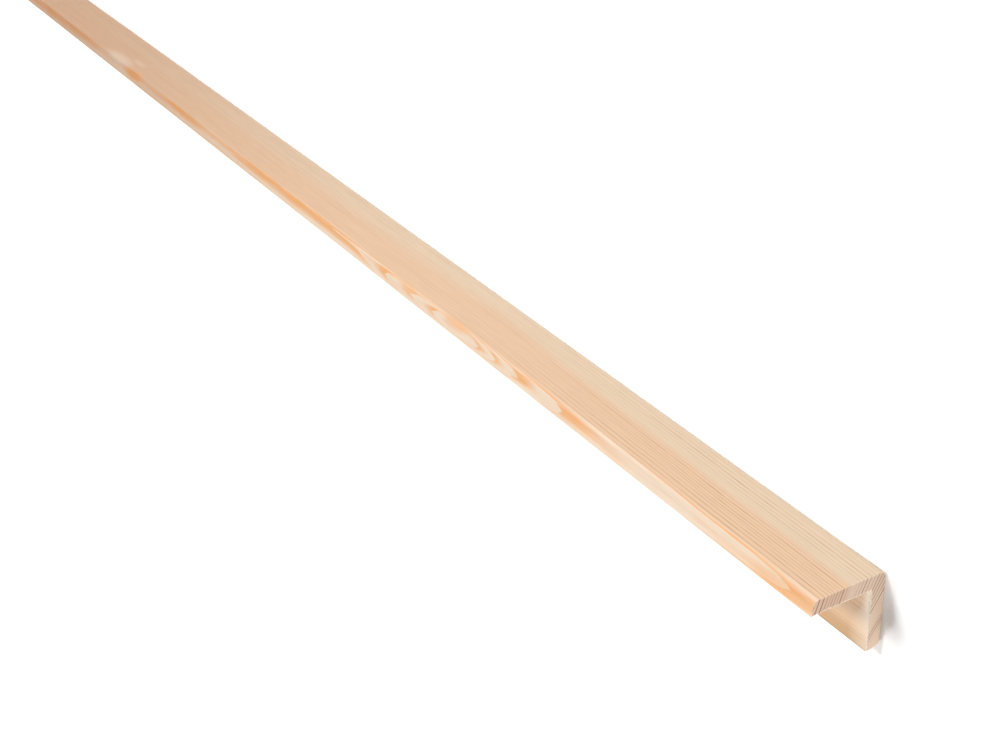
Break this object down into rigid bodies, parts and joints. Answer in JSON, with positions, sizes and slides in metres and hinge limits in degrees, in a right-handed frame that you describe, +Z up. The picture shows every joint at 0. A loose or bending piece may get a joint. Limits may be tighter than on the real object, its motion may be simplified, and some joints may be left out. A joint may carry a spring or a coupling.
{
  "type": "corner moulding",
  "caption": "Straight pine corner moulding of L-shaped section, with a rounded outer corner and round-nosed edges, that covers the outside corner of a wall.",
  "frame": {"origin": "middle of the underside: the centre of the box round the part, on the floor", "axes": "+X along the grain and the length; +Z up; the standing leg is at the front, with its outer face towards -Y, and the flat leg lies on the floor behind it"},
  "size_m": [2.4, 0.027, 0.027],
  "materials": {
    "pine": "planed, untreated"
  },
  "bodies": {
    "root": {"corner_moulding": "pine"}
  },
  "joints": []
}
